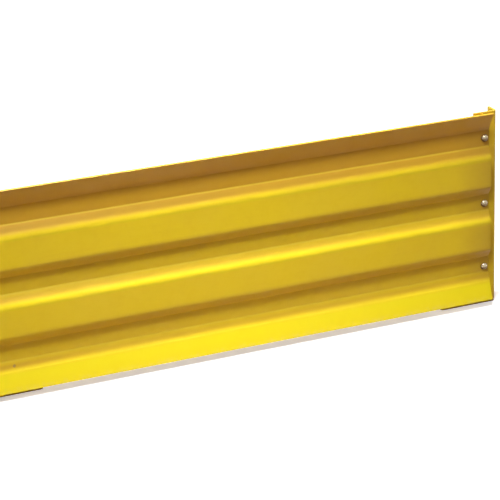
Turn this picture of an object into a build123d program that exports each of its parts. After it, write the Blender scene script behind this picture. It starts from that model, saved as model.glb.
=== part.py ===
"""Low floor-bolted guard: one ribbed steel rail bolted to a bent-angle upright at each end.

Frame: millimetres, +Z up, +X along the rail, the rail's working side facing -Y.
The origin is the centre of the left base plate's underside.
"""
from build123d import *
from math import radians, tan
import os

# ---------------------------------------------------------------- driving dimensions
# rail sheet: a roll-formed strip, seen end on in the YZ plane
rail_length = 1000.0
sheet_t = 3.0
rail_bottom_z = 14.0
lower_bend_z = 50.0            # bend between the lowest shelf and the bottom lip
lowest_crease_z = 70.0         # lower edge of the lowest valley floor
valley_floor = 33.0            # height of each flat valley floor
rib_face = 59.0                # height of each flat rib face
upper_web_height = 21.0        # sloping web above a rib face, facing up
lower_web_height = 17.0        # steeper web below a rib face, facing down
rib_depth = 13.0               # how far a rib face stands in front of a valley floor
rib_count = 2
shelf_depth = 9.5              # how far the bottom lip's bend stands in front of a valley floor
bottom_lip_angle = 16.0        # lean of the bottom lip from upright, in degrees
top_lip_height = 37.0
top_lip_angle = 30.0           # lean of the top lip from upright, in degrees
crease_radius = 4.0            # inner bend radius at each valley edge
shoulder_radius = 14.0         # inner bend radius at the top of a rib face
underside_radius = 8.0         # inner bend radius at the bottom of a rib face
lip_radius = 6.0               # inner bend radius between shelf and bottom lip

# upright: a bent angle with one leg behind the rail and one leg running back
upright_t = 4.0
front_leg = 48.0
side_leg = 31.0
angle_radius = 2.5             # inner bend radius
upright_drop = 3.0             # top of the upright below the rail's top edge

# base plate welded under each upright
plate_width = 118.0
plate_depth = 120.0
plate_t = 5.0
plate_corner_radius = 6.0
plate_inset = 1.0              # plate's outer edge in from the upright's outer face

# fastening
rail_end_setback = 18.5        # rail end in from the upright's outer face
bolt_edge = 8.5                # bolt axis in from the rail end
lowest_bolt_rise = 10.5        # lowest bolt axis above the lower edge of its valley floor
bolt_gain = 3.0                # bolts are pitched wider than the valleys by this much
bolt_d = 6.0
bolt_clearance = 1.0           # hole diameter over bolt diameter
anchor_d = 12.0
anchor_clearance = 2.0
anchor_inset = 25.0            # anchor axis in from each plate edge

# ---------------------------------------------------------------- derived places
overall_length = rail_length + 2 * rail_end_setback
pitch = valley_floor + lower_web_height + rib_face + upper_web_height
valley_bottoms = [lowest_crease_z + i * pitch for i in range(rib_count + 1)]
bolt_heights = [z + lowest_bolt_rise + i * bolt_gain for i, z in enumerate(valley_bottoms)]
rail_top_z = valley_bottoms[-1] + valley_floor + top_lip_height
upright_height = rail_top_z - upright_drop - plate_t
bolt_inset = rail_end_setback + bolt_edge
bolt_hole_r = (bolt_d + bolt_clearance) / 2
anchor_hole_r = (anchor_d + anchor_clearance) / 2

# The left foot carries the origin, so the upright's front face and outer face follow from the plate.
left_outer_x = -plate_width / 2 - plate_inset
right_outer_x = left_outer_x + overall_length
seat_y = -plate_depth / 2                          # back of the valleys = front of the front leg
rail_start_x = left_outer_x + rail_end_setback


def rail_outline():
    """Points of the strip's back face, from the bottom lip up to the top lip."""
    shelf_y = seat_y - shelf_depth
    lip_y = shelf_y - (lower_bend_z - rail_bottom_z) * tan(radians(bottom_lip_angle))
    points = [(lip_y, rail_bottom_z), (shelf_y, lower_bend_z)]
    radii = [lip_radius]
    for i, floor_z in enumerate(valley_bottoms):
        points += [(seat_y, floor_z), (seat_y, floor_z + valley_floor)]
        radii += [crease_radius + sheet_t, crease_radius + sheet_t]
        if i < rib_count:
            rib_z = floor_z + valley_floor + lower_web_height
            points += [(seat_y - rib_depth, rib_z), (seat_y - rib_depth, rib_z + rib_face)]
            radii += [underside_radius, shoulder_radius]
    points.append((seat_y - top_lip_height * tan(radians(top_lip_angle)), rail_top_z))
    return points, radii


def make_rail():
    """The ribbed strip: its section swept straight along X, then drilled at both ends."""
    points, radii = rail_outline()
    back_line = Plane.YZ * FilletPolyline(*points, radius=radii)
    section = make_face(offset(back_line, amount=sheet_t, side=Side.RIGHT, closed=True).edges())
    strip = extrude(section, amount=rail_length, dir=(1, 0, 0))
    rail = Pos(rail_start_x, 0, 0) * strip
    for x in (left_outer_x + bolt_inset, right_outer_x - bolt_inset):
        for z in bolt_heights:
            rail -= bolt_bore(x, z)
    return rail


def bolt_bore(x, z):
    """A bolt hole along Y, long enough for the rail's valley floor and the leg behind it."""
    span = 4 * (sheet_t + upright_t)
    return Pos(x, seat_y, z) * Rot(90, 0, 0) * Cylinder(bolt_hole_r, span)


def make_upright(outer_x, inward):
    """A bent angle: the front leg runs inward from the outer face, the side leg runs back."""
    leg_end = (outer_x + inward * front_leg, seat_y + upright_t / 2)
    corner = (outer_x + inward * upright_t / 2, seat_y + upright_t / 2)
    side_end = (outer_x + inward * upright_t / 2, seat_y + side_leg)
    middle = FilletPolyline(leg_end, corner, side_end, radius=angle_radius + upright_t / 2)
    outside = offset(middle, amount=upright_t / 2, side=Side.LEFT, closed=True)
    inside = offset(middle, amount=upright_t / 2, side=Side.RIGHT, closed=True)
    section = make_face(outside.edges()) + make_face(inside.edges())
    leg = extrude(Pos(0, 0, plate_t) * section, amount=upright_height)
    for z in bolt_heights:
        leg -= bolt_bore(outer_x + inward * bolt_inset, z)
    return leg


def make_base_plate(outer_x, inward):
    """A square-cornered floor plate with an anchor hole near each corner."""
    centre_x = outer_x + inward * (plate_inset + plate_width / 2)
    outline = RectangleRounded(plate_width, plate_depth, plate_corner_radius)
    holes = GridLocations(plate_width - 2 * anchor_inset, plate_depth - 2 * anchor_inset, 2, 2)
    outline -= holes * Circle(anchor_hole_r)
    return Pos(centre_x, 0, 0) * extrude(outline, amount=plate_t)


def main():
    pieces = {
        "rail_sheet": make_rail(),
        "left_upright": make_upright(left_outer_x, 1),
        "right_upright": make_upright(right_outer_x, -1),
        "left_base_plate": make_base_plate(left_outer_x, 1),
        "right_base_plate": make_base_plate(right_outer_x, -1),
    }
    os.makedirs("parts", exist_ok=True)
    for name, shape in pieces.items():
        export_step(shape, f"parts/{name}.step")


main()
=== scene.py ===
"""Looks for the low floor-mounted guard rail: coat, fasteners, welds, light and camera.

Every length is in metres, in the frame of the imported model.
"""

import math
import random

import bmesh
import bpy
from mathutils import Matrix, Vector


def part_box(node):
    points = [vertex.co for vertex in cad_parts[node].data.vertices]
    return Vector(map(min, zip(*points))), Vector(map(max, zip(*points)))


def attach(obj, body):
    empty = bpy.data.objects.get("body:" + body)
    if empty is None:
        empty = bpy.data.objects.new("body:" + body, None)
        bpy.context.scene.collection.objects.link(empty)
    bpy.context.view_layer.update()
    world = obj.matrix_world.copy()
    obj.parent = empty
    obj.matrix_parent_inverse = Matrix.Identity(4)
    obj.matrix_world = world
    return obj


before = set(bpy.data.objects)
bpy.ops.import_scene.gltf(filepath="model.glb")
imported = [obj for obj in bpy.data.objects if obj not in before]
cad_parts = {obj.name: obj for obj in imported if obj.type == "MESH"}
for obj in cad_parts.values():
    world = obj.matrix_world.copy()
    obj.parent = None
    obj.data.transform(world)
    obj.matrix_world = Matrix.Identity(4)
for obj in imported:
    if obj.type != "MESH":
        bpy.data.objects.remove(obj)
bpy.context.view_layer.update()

MM = 0.001
BODY = "root"

# ------------------------------------------------------------------ places taken from the frame
rail_low, rail_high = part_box("rail_sheet")
left_leg_low, left_leg_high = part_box("left_upright")
right_leg_low, right_leg_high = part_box("right_upright")
PLATE_TOP_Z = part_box("left_base_plate")[1].z
RIGHT_FACE_X = right_leg_high.x

# ------------------------------------------------------------------ sizes repeated from part.py
SHEET_T = 3 * MM
LEG_T = 4 * MM
BOLT_FROM_RAIL_END = 8.5 * MM
LOWEST_BOLT_Z = 80.5 * MM
BOLT_PITCH = 133 * MM
BOLT_ROWS = 3
LOWEST_CREASE_Z = 70 * MM
RIB_PITCH = 130 * MM

SEAT_Y = rail_high.y                      # back of the valleys, where the rail meets the uprights
VALLEY_Y = SEAT_Y - SHEET_T               # front of the valley floors
LEG_BACK_Y = SEAT_Y + LEG_T

# ------------------------------------------------------------------ node helpers
MIX_FACTOR = 0                            # these four are a Mix node's sockets for colours, by their place
MIX_FIRST = 6
MIX_SECOND = 7
MIX_RESULT = 2
NOISE_SPAN = (0.3, 0.7)                   # where most of a noise's values lie
RECESS_SAMPLES = 8
RECESS_SPAN = (0.40, 0.97)                # how open a point is, deep in a fold and in the open
BEVEL_SAMPLES = 4
EDGE_TURN = (0.97, 0.86)                  # cosine between the two normals, where an edge starts and is whole
SPOT_NOISE = {"scale": 700.0, "detail": 2.0}
SPOT_REACH = (0.7, 1.4)                   # a spot's least and greatest reach, in its radius
SPOT_RIM = (0.0, 0.8 * MM)


def new_material(name):
    material = bpy.data.materials.new(name)
    material.use_nodes = True
    tree = material.node_tree
    shader = tree.nodes["Principled BSDF"]
    return material, tree, shader


def add_node(tree, kind, **settings):
    """A new node; each setting goes to the input of that name, or else to the property."""
    node = tree.nodes.new(kind)
    for key, value in settings.items():
        if key in node.inputs:
            node.inputs[key].default_value = value
        else:
            setattr(node, key, value)
    return node


def feed(tree, socket, value):
    """Links an input to another node's output, or sets it to a number or colour."""
    if isinstance(value, bpy.types.NodeSocket):
        tree.links.new(value, socket)
    else:
        socket.default_value = value


def noise(tree, coords, scale, detail=2.0, roughness=0.5, stretch=None):
    """A 3-D noise whose scale is in features per metre."""
    source = coords
    if stretch:
        mapping = add_node(tree, "ShaderNodeMapping")
        mapping.inputs["Scale"].default_value = stretch
        tree.links.new(coords, mapping.inputs["Vector"])
        source = mapping.outputs["Vector"]
    node = add_node(tree, "ShaderNodeTexNoise", Scale=scale, Detail=detail, Roughness=roughness)
    tree.links.new(source, node.inputs["Vector"])
    return node.outputs["Fac"]


def remap(tree, value, span, to=(0.0, 1.0)):
    """Carries the two values of span to the two of to, and holds the result outside the span."""
    node = add_node(tree, "ShaderNodeMapRange")
    node.inputs["From Min"].default_value = span[0]
    node.inputs["From Max"].default_value = span[1]
    node.inputs["To Min"].default_value = to[0]
    node.inputs["To Max"].default_value = to[1]
    tree.links.new(value, node.inputs["Value"])
    return node.outputs["Result"]


def mix_colour(tree, factor, first, second):
    """The first colour at a factor of 0, and the second at 1."""
    node = add_node(tree, "ShaderNodeMix", data_type="RGBA")
    feed(tree, node.inputs[MIX_FACTOR], factor)
    feed(tree, node.inputs[MIX_FIRST], first)
    feed(tree, node.inputs[MIX_SECOND], second)
    return node.outputs[MIX_RESULT]


def combine(tree, operation, *values):
    """A Math node over sockets and numbers."""
    node = add_node(tree, "ShaderNodeMath", operation=operation)
    for socket, value in zip(node.inputs, values):
        feed(tree, socket, value)
    return node.outputs[0]


def product(tree, first, *others):
    for other in others:
        first = combine(tree, "MULTIPLY", first, other)
    return first


def band(tree, value, rise, fall, share=1.0):
    """The share between the inner ends of rise and fall, and 0 beyond their outer ends."""
    return product(tree, remap(tree, value, rise, (0.0, share)), remap(tree, value, fall))


def recess(tree, reach):
    """1 deep in a fold or against a neighbour, 0 in the open."""
    node = add_node(tree, "ShaderNodeAmbientOcclusion", samples=RECESS_SAMPLES)
    node.inputs["Distance"].default_value = reach
    return remap(tree, node.outputs["AO"], RECESS_SPAN, (1.0, 0.0))


def sharp_edge(tree, width):
    """1 along cut edges, where the rounded normal turns away from the true one."""
    rounded = add_node(tree, "ShaderNodeBevel", samples=BEVEL_SAMPLES)
    rounded.inputs["Radius"].default_value = width
    flat = add_node(tree, "ShaderNodeNewGeometry").outputs["Normal"]
    along = add_node(tree, "ShaderNodeVectorMath", operation="DOT_PRODUCT")
    tree.links.new(rounded.outputs["Normal"], along.inputs[0])
    tree.links.new(flat, along.inputs[1])
    return remap(tree, along.outputs["Value"], EDGE_TURN)


def spots(tree, coords, places, radius):
    """1 inside small ragged spots about the given points."""
    wobble = noise(tree, coords, **SPOT_NOISE)
    reach = remap(tree, wobble, NOISE_SPAN, (radius * SPOT_REACH[0], radius * SPOT_REACH[1]))
    total = 0.0
    for place in places:
        gap = add_node(tree, "ShaderNodeVectorMath", operation="DISTANCE")
        tree.links.new(coords, gap.inputs[0])
        gap.inputs[1].default_value = place
        inside = remap(tree, combine(tree, "SUBTRACT", reach, gap.outputs["Value"]), SPOT_RIM)
        total = combine(tree, "MAXIMUM", total, inside)
    return total


def add_relief(tree, shader, layers):
    """Bumps laid over one another; each layer is a height with its strength and distance."""
    normal = None
    for height, (strength, distance) in layers:
        bump = add_node(tree, "ShaderNodeBump", Strength=strength, Distance=distance)
        tree.links.new(height, bump.inputs["Height"])
        if normal:
            tree.links.new(normal, bump.inputs["Normal"])
        normal = bump.outputs["Normal"]
    tree.links.new(normal, shader.inputs["Normal"])


# ------------------------------------------------------------------ the coat
# A span, rise or fall gives where a layer is absent, then where it has its whole share.
COAT_FRESH = (0.86, 0.66, 0.020, 1.0)
COAT_FADED = (0.84, 0.64, 0.032, 1.0)
CLOUD_NOISE = {"scale": 5.0, "detail": 3.0}
CLOUD_SPAN = (0.35, 0.65)

COAT_DEEP = (0.80, 0.58, 0.016, 1.0)
MOTTLE_NOISE = {"scale": 60.0, "detail": 3.0, "roughness": 0.6}
MOTTLE_SPAN = (0.45, 0.75)
MOTTLE_SHARE = 0.35
STREAK_NOISE = {"scale": 55.0, "detail": 3.0, "roughness": 0.6, "stretch": (0.03, 1.0, 1.0)}
STREAK_SPAN = (0.50, 0.72)
STREAK_SHARE = 0.22

# warm painted shade, laid in the folds by an occlusion mask and over everything above the first rib
PAINTED_SHADE = (0.57, 0.115, 0.045, 1.0)
FOLD_REACH = 45 * MM
PATCH_NOISE = {"scale": 22.0, "detail": 4.0, "roughness": 0.6}
PATCH_SHARES = (0.8, 1.0)
UNDER_TOP_LIP_Z = (304 * MM, 318 * MM)
UNDER_TOP_LIP_SHARE = 0.39

# A crease here is the lower edge of a valley floor. The web that faces up is 0 to 21 mm below it, with the
# shoulder at its foot, and the steep web under the next rib is 33 to 50 mm above it, counted as negative.
# painted shade on the webs that face up, heavier at the left end
LEDGE_PAINTED_SHADE = (0.60, 0.35, 0.025, 1.0)
LEDGE_RISE = (3 * MM, 8 * MM)
LEDGE_FALL = (18 * MM, 11 * MM)
LEDGE_X = (20 * MM, 200 * MM)             # from the rail's left end, where the two shares hold
LEDGE_SHARES = (0.95, 0.58)

# brown painted shade, on the steep webs that face down and over the right end
BROWN_PAINTED_SHADE = (0.46, 0.27, 0.03, 1.0)
BELOW_TOP_LIP_Z = (372 * MM, 360 * MM)
STEEP_RISE = (-30 * MM, -36 * MM)
STEEP_FALL = (-58 * MM, -48 * MM)
STEEP_X = (20 * MM, 300 * MM)
STEEP_SHARES = (0.10, 0.42)

# a painted highlight along each crease
CREASE_HIGHLIGHT = (0.87, 0.67, 0.055, 1.0)
LINE_BELOW_CREASE = 0.5 * MM
LINE_SPAN = (2.2 * MM, 0.6 * MM)          # distance from the line's middle
LINE_SHARE = 0.75

# painted shade over the last stretch at the right end, between the lips
END_SPAN = (75 * MM, 0.0)                 # distance from the rail's right end
ABOVE_BOTTOM_LIP_Z = (44 * MM, 56 * MM)
ABOVE_BOTTOM_LIP_SHARES = (0.10, 1.0)

# painted highlight: a lighter lemon tone on the shoulders and the bottom lip
PAINTED_HIGHLIGHT = (0.78, 0.72, 0.004, 1.0)
SHOULDER_RISE = (11 * MM, 18 * MM)
SHOULDER_FALL = (30 * MM, 25 * MM)
SHOULDER_SHARE = 0.28
BOTTOM_LIP_Z = (54 * MM, 46 * MM)
BOTTOM_LIP_SHARE = 0.62

# painted contact shadow, within a few millimetres of a neighbouring part
CONTACT_SHADOW = (0.14, 0.07, 0.02, 1.0)
CONTACT_REACH = 4 * MM
CONTACT_SHARE = 0.85

DUST = (0.62, 0.56, 0.40, 1.0)
DUST_Z = (26 * MM, 2 * MM)
DUST_NOISE = {"scale": 90.0, "detail": 4.0, "roughness": 0.7}
DUST_SPAN = (0.45, 0.70)
DUST_SHARE = 0.45

SCRATCH_NOISE = {"scale": 160.0, "detail": 3.0, "roughness": 0.7, "stretch": (0.12, 1.0, 6.0)}
SCRATCH_SPAN = (0.735, 0.76)
SCRATCH_SHARE = 0.5

BARE_STEEL = (0.26, 0.17, 0.09, 1.0)
CHIP_NOISE = {"scale": 240.0, "detail": 4.0, "roughness": 0.65}
CHIP_SPAN = (0.57, 0.64)
CHIP_WIDTH = 0.8 * MM
KNOCK_AND_SHADOW_SPOT_R = 3 * MM
KNOCK_AND_SHADOW_SPOT_SHARE = 0.6
KNOCK_AND_SHADOW_SPOTS = [                                # the first, just below the top right bolt, is a painted shadow of the bolt, bared and dented like a knock; the second is a knock low near the left end
    (rail_high.x - 9 * MM, VALLEY_Y, 323.5 * MM),
    (rail_low.x + 53 * MM, VALLEY_Y - 4.5 * MM, 61 * MM),
]

GLOSS_NOISE = {"scale": 35.0, "detail": 3.0}
COAT_ROUGHNESS = (0.34, 0.46)
FOLD_AND_DUST_ROUGHNESS = 0.16
WEAR_ROUGHNESS = 0.12
COAT_SPECULAR = 0.26

PEEL_NOISE = {"scale": 520.0, "detail": 1.0}
PEEL_BUMP = (0.16, 0.25 * MM)             # a bump is its strength and distance
ROLLED_NOISE = {"scale": 26.0, "detail": 2.0, "stretch": (0.05, 1.0, 1.0)}
ROLLED_BUMP = (0.10, 0.8 * MM)
SWAY_NOISE = {"scale": 7.0, "detail": 1.0}
SWAY_BUMP = (0.20, 2.5 * MM)
BARE_BUMP = (0.35, -0.10 * MM)


def plain_coat(tree, coords):
    """The clean coat's colour: slow fading, a fine mottle and faint lengthwise streaks."""
    cloud = noise(tree, coords, **CLOUD_NOISE)
    colour = mix_colour(tree, remap(tree, cloud, CLOUD_SPAN), COAT_FRESH, COAT_FADED)
    mottle = noise(tree, coords, **MOTTLE_NOISE)
    colour = mix_colour(tree, remap(tree, mottle, MOTTLE_SPAN, (0.0, MOTTLE_SHARE)), colour, COAT_DEEP)
    streak = noise(tree, coords, **STREAK_NOISE)
    return mix_colour(tree, remap(tree, streak, STREAK_SPAN, (0.0, STREAK_SHARE)), colour, COAT_DEEP)


def powder_coat(name, painted_fold_light_share, end_painted_shade_share, painted_highlight_share):
    """Semi-gloss safety yellow coat over rolled steel, with painted shade in its folds and towards the right
    end.

    It has orange peel, faint lengthwise rolling marks, slow fading, warm painted shade in the folds, under
    the top lip and on the webs that face up, brown painted shade on the steep webs and over the last stretch
    at the right end, a painted highlight line along the creases, a painted lemon highlight on the shoulders
    and the bottom lip, a painted contact shadow where parts meet, floor dust low down, worn cut edges, fine
    scratches and two small knocks, the one below the top right bolt also a painted shadow of that bolt.
    """
    material, tree, shader = new_material(name)
    coords = add_node(tree, "ShaderNodeTexCoord").outputs["Object"]
    split = add_node(tree, "ShaderNodeSeparateXYZ")
    tree.links.new(coords, split.inputs[0])
    place_x = split.outputs["X"]
    place_z = split.outputs["Z"]
    from_left = combine(tree, "SUBTRACT", place_x, rail_low.x)
    from_right = combine(tree, "SUBTRACT", rail_high.x, place_x)
    offset = combine(tree, "SUBTRACT", LOWEST_CREASE_Z, place_z)
    below_crease = combine(tree, "WRAP", offset, RIB_PITCH / 2, -RIB_PITCH / 2)
    below_lip = remap(tree, place_z, BELOW_TOP_LIP_Z)

    colour = plain_coat(tree, coords)

    # painted shade: darker deep in the folds and against neighbouring parts
    patchy = remap(tree, noise(tree, coords, **PATCH_NOISE), NOISE_SPAN, PATCH_SHARES)
    fold_shade = product(tree, recess(tree, FOLD_REACH), patchy)
    colour = mix_colour(tree, product(tree, fold_shade, painted_fold_light_share), colour, PAINTED_SHADE)
    # painted shade over everything above the first rib: the top lip, the top valley and its web
    under_lip = remap(tree, place_z, UNDER_TOP_LIP_Z, (0.0, UNDER_TOP_LIP_SHARE * painted_fold_light_share))
    colour = mix_colour(tree, under_lip, colour, PAINTED_SHADE)

    # painted shade on the webs that face up, heavier towards the left end
    ledge = band(tree, below_crease, LEDGE_RISE, LEDGE_FALL)
    ledge_shares = [share * painted_fold_light_share for share in LEDGE_SHARES]
    ledge = product(tree, ledge, remap(tree, from_left, LEDGE_X, ledge_shares))
    colour = mix_colour(tree, ledge, colour, LEDGE_PAINTED_SHADE)

    # painted shade on the steep webs under the ribs, below the top lip, heavier away from the left end
    steep = band(tree, below_crease, STEEP_RISE, STEEP_FALL)
    steep_shares = [share * painted_fold_light_share for share in STEEP_SHARES]
    steep = product(tree, steep, below_lip, remap(tree, from_left, STEEP_X, steep_shares))
    colour = mix_colour(tree, steep, colour, BROWN_PAINTED_SHADE)

    # painted highlight: a thin pale line just below each crease
    off_line = combine(tree, "ABSOLUTE", combine(tree, "SUBTRACT", below_crease, LINE_BELOW_CREASE))
    line = remap(tree, off_line, LINE_SPAN, (0.0, LINE_SHARE * painted_fold_light_share))
    colour = mix_colour(tree, line, colour, CREASE_HIGHLIGHT)

    # painted shade, darker towards the rail's right end, weaker on the bottom lip
    near_end = remap(tree, from_right, END_SPAN, (0.0, end_painted_shade_share))
    above_bottom_lip = remap(tree, place_z, ABOVE_BOTTOM_LIP_Z, ABOVE_BOTTOM_LIP_SHARES)
    between_lips = product(tree, below_lip, above_bottom_lip)
    colour = mix_colour(tree, product(tree, near_end, between_lips), colour, BROWN_PAINTED_SHADE)

    # painted highlight on the shoulders and the bottom lip
    shoulder = band(tree, below_crease, SHOULDER_RISE, SHOULDER_FALL, SHOULDER_SHARE)
    bottom_lip = remap(tree, place_z, BOTTOM_LIP_Z, (0.0, BOTTOM_LIP_SHARE))
    highlight = product(tree, combine(tree, "MAXIMUM", shoulder, bottom_lip), painted_highlight_share)
    colour = mix_colour(tree, highlight, colour, PAINTED_HIGHLIGHT)

    # painted contact shadow where parts meet
    contact = product(tree, recess(tree, CONTACT_REACH), CONTACT_SHARE)
    colour = mix_colour(tree, contact, colour, CONTACT_SHADOW)

    settled = remap(tree, noise(tree, coords, **DUST_NOISE), DUST_SPAN, (0.0, DUST_SHARE))
    dusty = product(tree, remap(tree, place_z, DUST_Z), settled)
    colour = mix_colour(tree, dusty, colour, DUST)

    scratch = remap(tree, noise(tree, coords, **SCRATCH_NOISE), SCRATCH_SPAN, (0.0, SCRATCH_SHARE))
    colour = mix_colour(tree, scratch, colour, COAT_FADED)

    chipped = remap(tree, noise(tree, coords, **CHIP_NOISE), CHIP_SPAN)
    chips = product(tree, sharp_edge(tree, CHIP_WIDTH), chipped)
    # bare, dented spots; the one below the top right bolt is painted where that bolt's shadow falls
    knock_and_shadow_spots = product(tree, spots(tree, coords, KNOCK_AND_SHADOW_SPOTS, KNOCK_AND_SHADOW_SPOT_R), KNOCK_AND_SHADOW_SPOT_SHARE)
    bare = combine(tree, "MAXIMUM", chips, knock_and_shadow_spots)
    colour = mix_colour(tree, bare, colour, BARE_STEEL)
    tree.links.new(colour, shader.inputs["Base Color"])

    gloss = remap(tree, noise(tree, coords, **GLOSS_NOISE), NOISE_SPAN, COAT_ROUGHNESS)
    dulled = product(tree, combine(tree, "ADD", fold_shade, dusty), FOLD_AND_DUST_ROUGHNESS)
    worn = product(tree, combine(tree, "ADD", bare, scratch), WEAR_ROUGHNESS)
    rough = combine(tree, "ADD", gloss, combine(tree, "ADD", dulled, worn))
    tree.links.new(rough, shader.inputs["Roughness"])
    shader.inputs["Specular IOR Level"].default_value = COAT_SPECULAR

    add_relief(tree, shader, [
        (noise(tree, coords, **PEEL_NOISE), PEEL_BUMP),
        (noise(tree, coords, **ROLLED_NOISE), ROLLED_BUMP),
        (noise(tree, coords, **SWAY_NOISE), SWAY_BUMP),
        (bare, BARE_BUMP),
    ])
    return material


# ------------------------------------------------------------------ the fasteners' zinc
ZINC_DARK = (0.32, 0.25, 0.14, 1.0)
ZINC_LIGHT = (0.80, 0.70, 0.50, 1.0)
ZINC_CLOUD_NOISE = {"scale": 420.0, "detail": 3.0}
ZINC_ROUGHNESS = (0.20, 0.30)
ZINC_GRAIN_NOISE = {"scale": 1500.0, "detail": 2.0}
ZINC_GRAIN_BUMP = (0.10, 0.05 * MM)
# painted shade, at the seat of each head and on the lower half of each part
ZINC_PAINTED_SHADE = (0.09, 0.055, 0.025, 1.0)
SEAT_REACH = 3 * MM
SEAT_SHARE = 0.9
SEAT_ROUGHNESS = 0.3
UNDERSIDE_SPAN = (0.40, -0.05)            # in the Z of the surface's normal
UNDERSIDE_SHARE = 0.95


def zinc_plate():
    """Dull zinc on the fasteners, clouded, with painted shade at the seat and a painted dark underside."""
    material, tree, shader = new_material("zinc_plate")
    coords = add_node(tree, "ShaderNodeTexCoord").outputs["Object"]
    cloud = noise(tree, coords, **ZINC_CLOUD_NOISE)
    colour = mix_colour(tree, remap(tree, cloud, NOISE_SPAN), ZINC_DARK, ZINC_LIGHT)
    # painted shade where the fastener meets its neighbour
    seat = recess(tree, SEAT_REACH)
    colour = mix_colour(tree, product(tree, seat, SEAT_SHARE), colour, ZINC_PAINTED_SHADE)
    # painted shade: the lower half of each head, washer and nut darker, by the Z of the normal
    facing = add_node(tree, "ShaderNodeSeparateXYZ")
    tree.links.new(add_node(tree, "ShaderNodeNewGeometry").outputs["Normal"], facing.inputs[0])
    underside = remap(tree, facing.outputs["Z"], UNDERSIDE_SPAN, (0.0, UNDERSIDE_SHARE))
    colour = mix_colour(tree, underside, colour, ZINC_PAINTED_SHADE)
    tree.links.new(colour, shader.inputs["Base Color"])
    clean = remap(tree, cloud, NOISE_SPAN, ZINC_ROUGHNESS)
    rough = combine(tree, "ADD", clean, product(tree, seat, SEAT_ROUGHNESS))
    tree.links.new(rough, shader.inputs["Roughness"])
    shader.inputs["Metallic"].default_value = 1.0
    add_relief(tree, shader, [(noise(tree, coords, **ZINC_GRAIN_NOISE), ZINC_GRAIN_BUMP)])
    return material


# ------------------------------------------------------------------ mesh helpers
STEPS = 48                                # corners in every turned loop


def finish_mesh(name, bm, material, sharp_from):
    """A piece from the finished mesh, smooth except at edges that turn by more than sharp_from degrees."""
    bmesh.ops.recalc_face_normals(bm, faces=bm.faces)
    mesh = bpy.data.meshes.new(name)
    bm.to_mesh(mesh)
    bm.free()
    mesh.materials.append(material)
    piece = bpy.data.objects.new(name, mesh)
    bpy.context.scene.collection.objects.link(piece)
    mesh.shade_smooth()
    mesh.set_sharp_from_angle(angle=math.radians(sharp_from))
    return piece


def ring(bm, outline, y):
    """A closed loop of vertices in the XZ plane at the given Y."""
    return [bm.verts.new((x, y, z)) for x, z in outline]


def join_loops(bm, loops):
    """Four-sided faces between each loop and the next, and one face over each end."""
    for first, second in zip(loops, loops[1:]):
        count = len(first)
        for i in range(count):
            j = (i + 1) % count
            bm.faces.new((first[i], first[j], second[j], second[i]))
    bm.faces.new(loops[0])
    bm.faces.new(loops[-1])


def lathe_y(bm, sections):
    """Loops joined in order; each section is (outline, y)."""
    join_loops(bm, [ring(bm, outline, y) for outline, y in sections])


def circle(radius):
    """The corners of a round outline."""
    angles = [2 * math.pi * i / STEPS for i in range(STEPS)]
    return [(radius * math.cos(angle), radius * math.sin(angle)) for angle in angles]


def hexagon(across_flats, turn):
    """A hexagon sampled at a circle's angles, so that it can be joined to one."""
    points = []
    for i in range(STEPS):
        angle = 2 * math.pi * i / STEPS
        local = (angle - turn + math.pi / 6) % (math.pi / 3) - math.pi / 6
        radius = across_flats / 2 / math.cos(local)
        points.append((radius * math.cos(angle), radius * math.sin(angle)))
    return points


# ------------------------------------------------------------------ fasteners
HEAD_R = 7 * MM
HEAD_RIM = 0.8 * MM
HEAD_HEIGHT = 5.4 * MM
HEAD_EDGE = 0.25 * MM
HEAD_ROWS = 12
WASHER_R = 6 * MM
WASHER_T = 1.6 * MM
WASHER_EDGE = 0.3 * MM
NUT_FLATS = 10 * MM
NUT_HEIGHT = 5 * MM
NUT_CHAMFER = 30.0                        # degrees
NUT_CUTS = [0.0, 0.25, 0.5, 0.75, 1.0]    # the chamfer's loops, from the corners in to the flats
NUT_FACE_R = 0.92 * NUT_FLATS / 2
SHANK_R = 3 * MM
SHANK_IN_NUT = 1 * MM
SHANK_BEYOND_NUT = 3.5 * MM
THREAD_PITCH = 1.0 * MM
THREAD_DEPTH = 0.6 * MM
THREAD_ROWS = 10                          # loops in each turn of the thread
TIP_LENGTH = 1.0 * MM
TIP_DEPTH = 0.9 * MM
BOLT_SHARP_FROM = 28.0                    # degrees
BOLT_SEED = 7


def round_head(bm, y_from):
    """A low domed head with a short straight rim, its underside at the given Y and its crown towards -Y."""
    crown = HEAD_HEIGHT - HEAD_RIM
    dome_r = (HEAD_R ** 2 + crown ** 2) / (2 * crown)
    sections = [(circle(HEAD_R - HEAD_EDGE), y_from), (circle(HEAD_R), y_from - HEAD_EDGE)]
    widest = math.asin(HEAD_R / dome_r)
    for row in range(HEAD_ROWS):
        angle = widest * (1 - row / HEAD_ROWS)
        rise = dome_r * (math.cos(angle) - math.cos(widest))
        sections.append((circle(dome_r * math.sin(angle)), y_from - HEAD_RIM - rise))
    lathe_y(bm, sections)


def washer(bm, y_from, y_to):
    """A round washer with broken edges between two Y planes."""
    lathe_y(bm, [
        (circle(WASHER_R - WASHER_EDGE), y_from),
        (circle(WASHER_R), y_from + WASHER_EDGE),
        (circle(WASHER_R), y_to - WASHER_EDGE),
        (circle(WASHER_R - WASHER_EDGE), y_to),
    ])


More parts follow.
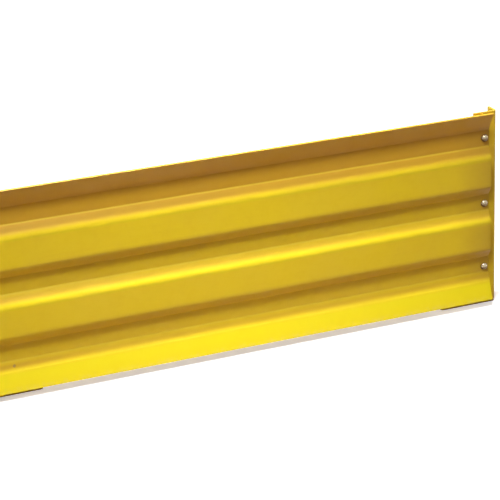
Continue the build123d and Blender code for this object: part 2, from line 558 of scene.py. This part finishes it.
def hex_nut(bm, y_from, y_to, turn):
    """A hexagon nut, chamfered at both ends."""
    corner_r = NUT_FLATS / 2 / math.cos(math.pi / 6)
    drop = corner_r - NUT_FLATS / 2
    slope = math.tan(math.radians(NUT_CHAMFER))
    full = hexagon(NUT_FLATS, turn)

    def cut_to(radius):
        return [(x * min(1.0, radius / math.hypot(x, z)), z * min(1.0, radius / math.hypot(x, z)))
                for x, z in full]

    near = [(cut_to(corner_r - drop * cut), y_from + drop * slope * (1 - cut)) for cut in reversed(NUT_CUTS)]
    far = [(cut_to(corner_r - drop * cut), y_to - drop * slope * (1 - cut)) for cut in NUT_CUTS]
    face = circle(NUT_FACE_R)
    lathe_y(bm, [(face, y_from)] + near + far + [(face, y_to)])


def threaded_shank(bm, y_from, y_to):
    """A helical thread with a chamfered tip."""
    rows = int((y_to - y_from) / THREAD_PITCH * THREAD_ROWS)
    sections = []
    for row in range(rows + 1):
        y = y_from + (y_to - y_from) * row / rows
        tip = max(0.0, 1.0 - (y_to - y) / TIP_LENGTH)
        points = []
        for i in range(STEPS):
            turn = i / STEPS
            phase = (row / THREAD_ROWS - turn) % 1.0
            ridge = 1.0 - abs(2.0 * phase - 1.0)
            radius = SHANK_R - THREAD_DEPTH * (1.0 - ridge)
            radius = min(radius, SHANK_R - TIP_DEPTH * tip)
            points.append((radius * math.cos(2 * math.pi * turn), radius * math.sin(2 * math.pi * turn)))
        sections.append((points, y))
    lathe_y(bm, sections)


def bolt_set(name, x, z, turn, material):
    """Round head in the valley; washer, nut and thread end behind the upright."""
    bm = bmesh.new()
    round_head(bm, VALLEY_Y)
    nut_from = LEG_BACK_Y + WASHER_T
    nut_to = nut_from + NUT_HEIGHT
    washer(bm, LEG_BACK_Y, nut_from)
    hex_nut(bm, nut_from, nut_to, turn)
    threaded_shank(bm, nut_to - SHANK_IN_NUT, nut_to + SHANK_BEYOND_NUT)
    bmesh.ops.translate(bm, verts=bm.verts, vec=(x, 0, z))
    piece = finish_mesh(name, bm, material, BOLT_SHARP_FROM)
    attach(piece, BODY)


def all_bolts(material):
    """A column of bolts through each end of the rail, every nut turned its own way."""
    draw = random.Random(BOLT_SEED)
    ends = {"left": rail_low.x + BOLT_FROM_RAIL_END, "right": rail_high.x - BOLT_FROM_RAIL_END}
    for side, x in ends.items():
        for row in range(BOLT_ROWS):
            z = LOWEST_BOLT_Z + row * BOLT_PITCH
            bolt_set(f"{side}_bolt_{row + 1}", x, z, draw.uniform(0, math.pi / 3), material)


# ------------------------------------------------------------------ welds
BEAD_LEG = 4.5 * MM
BEAD_ROOT = 0.2 * MM                      # how far a bead reaches into the plate and the legs
BEAD_GAP = 3 * MM                         # from the corner between the legs to where a bead starts
BEAD_RIPPLE = 2.2 * MM
BEAD_SWELL = 0.06                         # a ripple's height, and its unevenness, in the bead's size
BEAD_UNEVEN = 0.012
BEAD_LEAD = 0.35                          # how far a ripple's middle runs ahead, in ripples
BEAD_TOE = 0.78                           # the bead's size at its toes, and how much more in the middle
BEAD_BULGE = 0.10
BEAD_END = 0.1                            # what is left of the size at a bead's ends
BEAD_ARC = 8
BEAD_SLICES = 6                           # slices in each ripple
BEAD_LEAST_SLICES = 8
BEAD_SHARP_FROM = 60.0                    # degrees
FRONT_WELD_SEED = 3
SIDE_WELD_SEED = 5
UP = Vector((0, 0, 1))


def weld_bead(name, corner, direction, length, inward, material, seed):
    """A rippled fillet weld along a straight root on the plate's top; inward points away from the leg."""
    draw = random.Random(seed)
    bm = bmesh.new()
    slices = max(BEAD_LEAST_SLICES, int(length / BEAD_RIPPLE * BEAD_SLICES))
    loops = []
    for i in range(slices + 1):
        along = length * i / slices
        root = corner + direction * along
        phase = along / BEAD_RIPPLE
        swell = 1.0 + BEAD_SWELL * abs(math.sin(math.pi * phase)) + draw.uniform(-BEAD_UNEVEN, BEAD_UNEVEN)
        end = min(1.0, min(along, length - along) / BEAD_LEG)
        taper = math.sqrt(max(0.0, 1 - (1 - end) ** 2)) * (1 - BEAD_END) + BEAD_END
        size = BEAD_LEG * swell * taper
        loop = [bm.verts.new(root)]
        for k in range(BEAD_ARC + 1):
            angle = math.pi / 2 * k / BEAD_ARC
            middle = math.sin(2 * angle)
            bulge = BEAD_TOE + BEAD_BULGE * middle
            out = inward * (size * math.cos(angle) * bulge)
            up = UP * (size * math.sin(angle) * bulge)
            shift = direction * (BEAD_LEAD * BEAD_RIPPLE * middle)
            loop.append(bm.verts.new(root + out + up + shift))
        loops.append(loop)
    join_loops(bm, loops)
    piece = finish_mesh(name, bm, material, BEAD_SHARP_FROM)
    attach(piece, BODY)


def welds(material):
    """Fillets along the inner faces of both legs of each upright."""
    uprights = [("left", left_leg_low, left_leg_high, 1), ("right", right_leg_low, right_leg_high, -1)]
    bead_z = PLATE_TOP_Z - BEAD_ROOT
    back = Vector((0, 1, 0))
    for side, low, high, sign in uprights:
        inward = Vector((sign, 0, 0))
        outer_x = low.x if sign > 0 else high.x
        inner_x = outer_x + sign * LEG_T
        free_x = outer_x + sign * (high.x - low.x)
        start = Vector((inner_x + sign * BEAD_GAP, LEG_BACK_Y - BEAD_ROOT, bead_z))
        length = abs(free_x - inner_x) - BEAD_GAP
        weld_bead(f"{side}_weld_front", start, inward, length, back, material, FRONT_WELD_SEED)
        start = Vector((inner_x - sign * BEAD_ROOT, LEG_BACK_Y + BEAD_GAP, bead_z))
        length = high.y - LEG_BACK_Y - BEAD_GAP
        weld_bead(f"{side}_weld_side", start, back, length, inward, material, SIDE_WELD_SEED)


# ------------------------------------------------------------------ stage
WHITE = (1.0, 1.0, 1.0, 1.0)
FLOOR_HALF = 30.0
FLOOR_PALE = (0.80, 0.80, 0.80, 1.0)
FLOOR_BOUNCE = (0.26, 0.17, 0.09, 1.0)    # the floor's colour for the light that it throws on the object
FLOOR_LIFT = (0.45, 1.0)                  # by the object, where the shadow is kept, and where all is white
LIFT_SPAN = (0.8, 1.5)                    # distances from the origin at which the two hold


def shows_background(tree):
    """1 for the rays that show the background: camera, glossy and transmission rays."""
    path = add_node(tree, "ShaderNodeLightPath")
    seen = combine(tree, "MAXIMUM", path.outputs["Is Camera Ray"], path.outputs["Is Glossy Ray"])
    return combine(tree, "MAXIMUM", seen, path.outputs["Is Transmission Ray"])


def floor():
    """A plain pale floor that keeps the object's shadow and is white further out."""
    material, tree, shader = new_material("pale_floor")
    tree.nodes.remove(shader)
    output = tree.nodes["Material Output"]
    pale = add_node(tree, "ShaderNodeBsdfDiffuse", Color=FLOOR_PALE)
    lift = add_node(tree, "ShaderNodeEmission", Color=WHITE)
    away = add_node(tree, "ShaderNodeVectorMath", operation="LENGTH")
    tree.links.new(add_node(tree, "ShaderNodeTexCoord").outputs["Object"], away.inputs[0])
    tree.links.new(remap(tree, away.outputs["Value"], LIFT_SPAN, FLOOR_LIFT), lift.inputs["Strength"])
    seen = add_node(tree, "ShaderNodeAddShader")
    tree.links.new(pale.outputs[0], seen.inputs[0])
    tree.links.new(lift.outputs[0], seen.inputs[1])
    unseen = add_node(tree, "ShaderNodeBsdfDiffuse", Color=FLOOR_BOUNCE)
    choose = add_node(tree, "ShaderNodeMixShader")
    tree.links.new(shows_background(tree), choose.inputs[0])
    tree.links.new(unseen.outputs[0], choose.inputs[1])
    tree.links.new(seen.outputs[0], choose.inputs[2])
    tree.links.new(choose.outputs[0], output.inputs["Surface"])

    bm = bmesh.new()
    signs = ((-1, -1), (1, -1), (1, 1), (-1, 1))
    bm.faces.new([bm.verts.new((x * FLOOR_HALF, y * FLOOR_HALF, 0.0)) for x, y in signs])
    mesh = bpy.data.meshes.new("floor")
    bm.to_mesh(mesh)
    bm.free()
    mesh.materials.append(material)
    plane = bpy.data.objects.new("floor", mesh)
    bpy.context.scene.collection.objects.link(plane)


# ------------------------------------------------------------------ light
DOME_COLOUR = (1.0, 0.66, 0.38, 1.0)
DOME_LEVELS = (0.02, 0.07)                # below the horizon and above it
FRONT_LEVEL = 0.08
BEHIND_LEVEL = 0.50
HORIZON_SPAN = (-0.10, 0.10)              # this and the next three are in the Z or Y of a direction
FRONT_SPAN = (-0.2, -0.9)
BEHIND_SPAN = (0.1, 0.8)
ABOVE_FLOOR_SPAN = (-0.02, 0.05)

LAMP_DISTANCE = 2.6
LAMP_WIDTH = 0.4
LAMP_DEPTH = 0.35
LAMPS = [           # name, lean to the left, height angle, aim along X from the middle, power, spread
    ("key_low", 0.2, 67.0, -0.12, 40.0, 180.0),
    ("key_high", 0.2, 82.0, -0.12, 25.0, 180.0),
    ("key_top", 0.2, 88.0, -0.12, 21.0, 180.0),
    ("pool_low", 0.2, 68.0, -0.05, 0.7, 40.0),
    ("pool_high", 0.2, 84.0, -0.05, 3.5, 40.0),
]


def world_light():
    """A plain dome, stronger behind the rail where no lamp reaches, and white where the background shows."""
    world = bpy.data.worlds.new("studio")
    bpy.context.scene.world = world
    world.use_nodes = True
    tree = world.node_tree
    dome = tree.nodes["Background"]
    split = add_node(tree, "ShaderNodeSeparateXYZ")
    tree.links.new(add_node(tree, "ShaderNodeTexCoord").outputs["Generated"], split.inputs[0])
    toward_y = split.outputs["Y"]
    toward_z = split.outputs["Z"]
    plain = remap(tree, toward_z, HORIZON_SPAN, DOME_LEVELS)
    front = remap(tree, toward_y, FRONT_SPAN, (0.0, FRONT_LEVEL))
    behind = remap(tree, toward_y, BEHIND_SPAN, (0.0, BEHIND_LEVEL))
    above_floor = remap(tree, toward_z, ABOVE_FLOOR_SPAN)
    sides = product(tree, combine(tree, "ADD", front, behind), above_floor)
    dome.inputs["Color"].default_value = DOME_COLOUR
    tree.links.new(combine(tree, "ADD", plain, sides), dome.inputs["Strength"])
    white = add_node(tree, "ShaderNodeBackground", Color=WHITE, Strength=1.0)
    choose = add_node(tree, "ShaderNodeMixShader")
    tree.links.new(shows_background(tree), choose.inputs[0])
    tree.links.new(dome.outputs[0], choose.inputs[1])
    tree.links.new(white.outputs[0], choose.inputs[2])
    tree.links.new(choose.outputs[0], tree.nodes["World Output"].inputs["Surface"])


def soft_box(name, lean, height_angle, aim, power, spread):
    """A rectangular softbox above the front of the rail, aimed at the rail.

    It is off to the left by the lean times its distance in front, and its height angle is as seen from
    the side.
    """
    rise = math.tan(math.radians(height_angle))
    toward = Vector((-lean, -1.0, rise)).normalized()
    target = (rail_low + rail_high) / 2 + Vector((aim, 0.0, 0.0))
    light = bpy.data.lights.new(name, "AREA")
    light.shape = "RECTANGLE"
    light.size = LAMP_WIDTH
    light.size_y = LAMP_DEPTH
    light.energy = power
    light.spread = math.radians(spread)
    lamp = bpy.data.objects.new(name, light)
    lamp.location = target + toward * LAMP_DISTANCE
    lamp.rotation_mode = "QUATERNION"
    lamp.rotation_quaternion = (-toward).to_track_quat("-Z", "Y")
    bpy.context.scene.collection.objects.link(lamp)


# ------------------------------------------------------------------ camera
CAMERA_AZIMUTH = -16.358                  # degrees, as are the next two
CAMERA_ELEVATION = 22.106
CAMERA_ROLL = -3.725
CAMERA_TARGET = Vector((RIGHT_FACE_X - 0.50645, SEAT_Y, 0.2012))
CAMERA_DISTANCE = 2.536
CAMERA_CLIP_END = 200.0
SENSOR_WIDTH = 36.0                       # millimetres, as is the focal length
FOCAL_LENGTH = 98.17


def camera():
    """Seen from the left of the working side and a little above, with the slight roll of a hand-held view."""
    azimuth = math.radians(CAMERA_AZIMUTH)
    elevation = math.radians(CAMERA_ELEVATION)
    roll = math.radians(CAMERA_ROLL)
    back = Vector((math.sin(azimuth) * math.cos(elevation), -math.cos(azimuth) * math.cos(elevation),
                   math.sin(elevation)))
    level_right = Vector((math.cos(azimuth), math.sin(azimuth), 0.0))
    level_up = back.cross(level_right)
    right = level_right * math.cos(roll) + level_up * math.sin(roll)
    up = back.cross(right)
    data = bpy.data.cameras.new("camera")
    data.sensor_width = SENSOR_WIDTH
    data.lens = FOCAL_LENGTH
    data.clip_end = CAMERA_CLIP_END
    cam = bpy.data.objects.new("camera", data)
    cam.matrix_world = Matrix((
        (right.x, up.x, back.x, CAMERA_TARGET.x + back.x * CAMERA_DISTANCE),
        (right.y, up.y, back.y, CAMERA_TARGET.y + back.y * CAMERA_DISTANCE),
        (right.z, up.z, back.z, CAMERA_TARGET.z + back.z * CAMERA_DISTANCE),
        (0.0, 0.0, 0.0, 1.0),
    ))
    bpy.context.scene.collection.objects.link(cam)
    bpy.context.scene.camera = cam


# ------------------------------------------------------------------ the whole scene
def dress_frame(rail_coat, frame_coat):
    """The rail takes its own coat, and the uprights and plates the plainer one."""
    for name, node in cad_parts.items():
        node.data.materials.clear()
        node.data.materials.append(rail_coat if name == "rail_sheet" else frame_coat)


rail_coat = powder_coat("powder_coat_rail", painted_fold_light_share=0.85, end_painted_shade_share=0.52, painted_highlight_share=1.0)
frame_coat = powder_coat("powder_coat_frame", painted_fold_light_share=0.25, end_painted_shade_share=0.0, painted_highlight_share=0.0)
zinc = zinc_plate()
dress_frame(rail_coat, frame_coat)
all_bolts(zinc)
welds(frame_coat)
floor()
world_light()
for lamp in LAMPS:
    soft_box(*lamp)
camera()
bpy.context.scene.view_settings.view_transform = "Standard"
